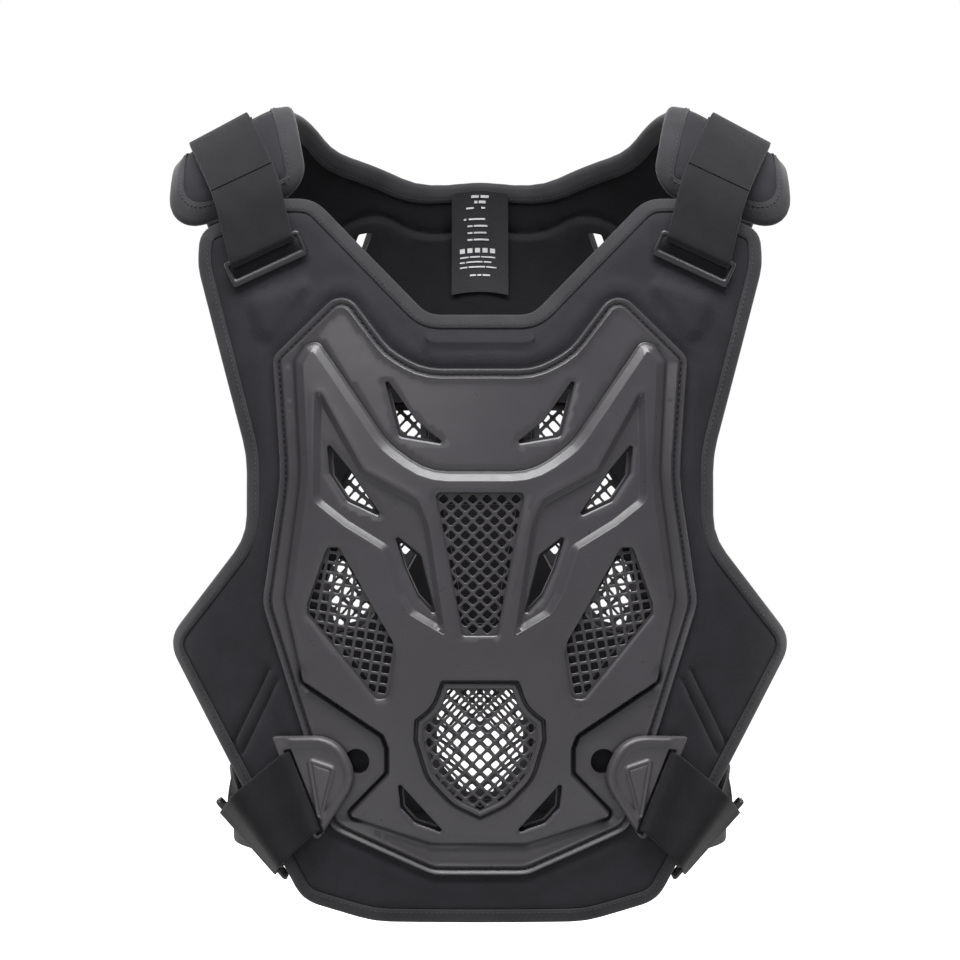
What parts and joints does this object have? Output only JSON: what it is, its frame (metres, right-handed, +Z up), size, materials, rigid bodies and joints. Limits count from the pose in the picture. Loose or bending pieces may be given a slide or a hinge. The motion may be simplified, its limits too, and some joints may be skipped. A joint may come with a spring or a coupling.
{
  "type": "roost deflector",
  "caption": "Padded chest and back protector with moulded ventilated shells, shoulder tabs, buckled frames and elastic waist straps.",
  "frame": {"origin": "where the guard rests on the shoulders: midway between the undersides of the two shoulder tabs", "axes": "+Z up, the chest faces -Y, +X is right in a front view"},
  "size_m": [0.4608, 0.2702, 0.6024],
  "materials": {
    "foam": "matt cloth over soft foam",
    "tape": "woven edge tape",
    "shell": "satin moulded polymer",
    "grille": "moulded net",
    "buckle": "smooth moulded",
    "webbing": "woven",
    "hook": "satin moulded polymer",
    "elastic": "ribbed elastic",
    "label": "satin ribbon"
  },
  "bodies": {
    "root": {"front_panel": "foam", "front_binding": "tape", "front_shell": "shell", "grille_centre": "grille", "grille_shield": "grille", "grille_right": "grille", "grille_left": "grille", "back_panel": "foam", "back_binding": "tape", "back_shell": "shell", "back_grille_right": "grille", "back_grille_left": "grille", "back_grille_low": "grille", "shoulder_frame_right": "buckle", "shoulder_frame_left": "buckle", "shoulder_strap_right": "webbing", "shoulder_strap_left": "webbing", "hook_right": "hook", "hook_left": "hook", "side_ring_right": "buckle", "side_ring_left": "buckle", "side_strap_right": "elastic", "side_strap_left": "elastic", "side_anchor_right": "webbing", "side_anchor_left": "webbing", "care_label": "label"}
  },
  "joints": []
}
